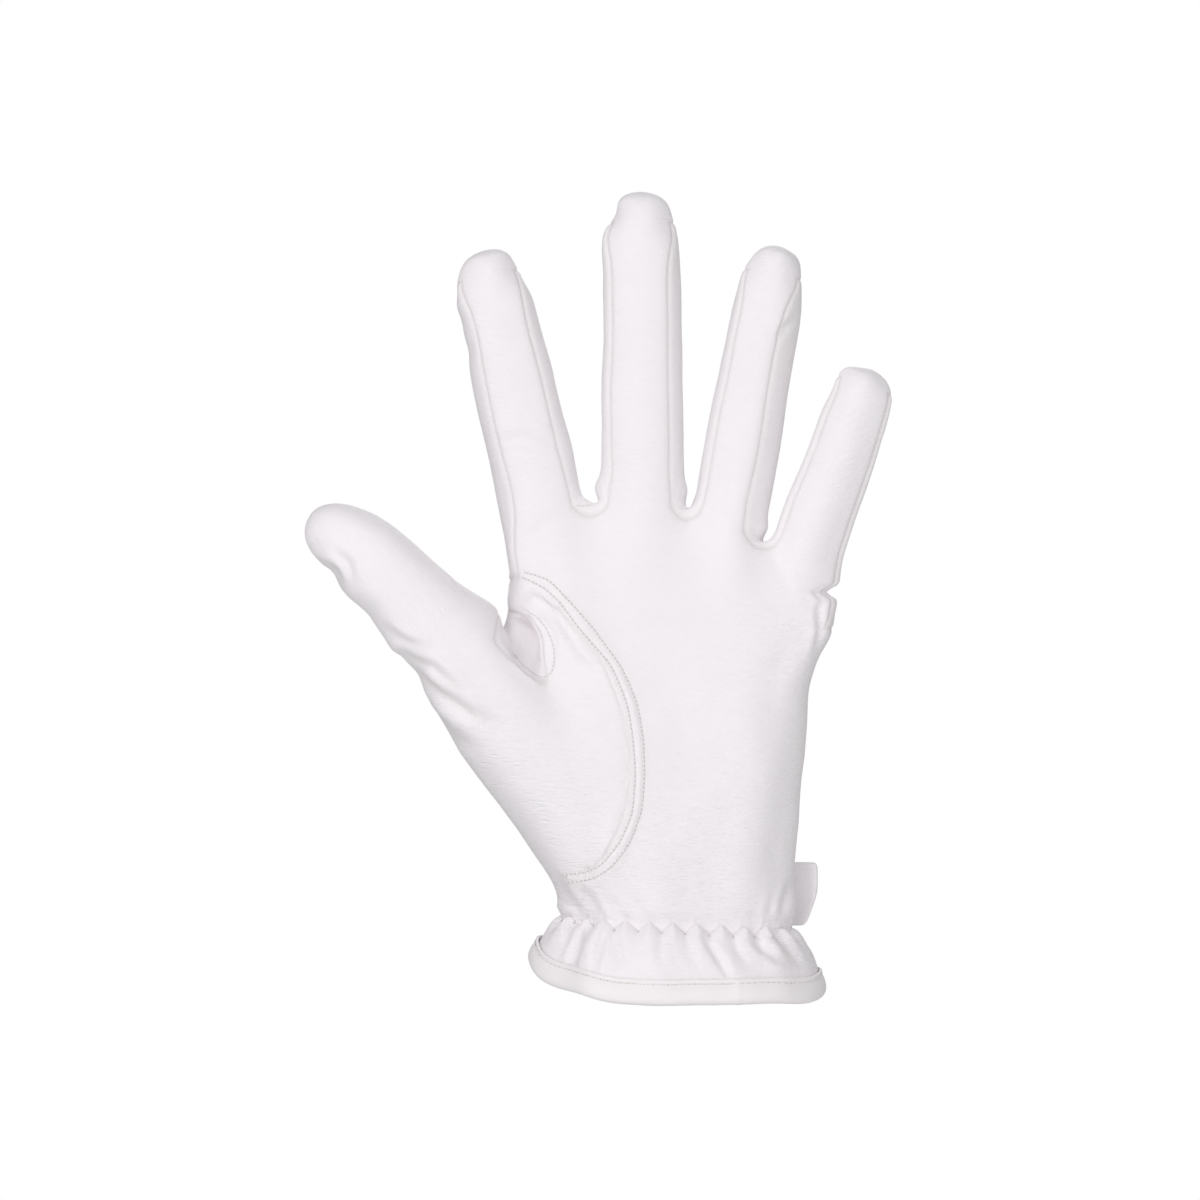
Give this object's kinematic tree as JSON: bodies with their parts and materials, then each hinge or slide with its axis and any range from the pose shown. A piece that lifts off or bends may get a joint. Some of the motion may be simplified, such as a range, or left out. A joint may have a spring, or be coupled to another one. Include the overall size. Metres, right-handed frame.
{
  "type": "horse riding glove",
  "caption": "White leather riding glove for a left hand, filled as worn: sewn palm, back, fourchettes and set-in thumb, gathered elastic wrist, flared bound hem and a wrist strap.",
  "frame": {"origin": "centre of the wrist opening, at the middle of the rim's height", "axes": "+Z from the wrist opening towards the fingertips, palm facing -Y, thumb towards -X"},
  "size_m": [0.1695, 0.0598, 0.2366],
  "materials": {
    "glove_leather": "smooth white synthetic leather, satin, very fine crepe-like grain",
    "fourchette_leather": "soft thin white leather, matt satin",
    "binding_leather": "folded white leather binding, satin",
    "strap_leather": "white leather tab, satin"
  },
  "bodies": {
    "root": {"palm_panel": "glove_leather", "back_panel": "glove_leather", "thumb_panel": "glove_leather", "thumb_back": "glove_leather", "thumb_gusset": "fourchette_leather", "fourchette_index_middle": "fourchette_leather", "fourchette_middle_ring": "fourchette_leather", "fourchette_ring_little": "fourchette_leather", "hem_binding": "binding_leather", "closure_strap": "strap_leather"}
  },
  "joints": []
}
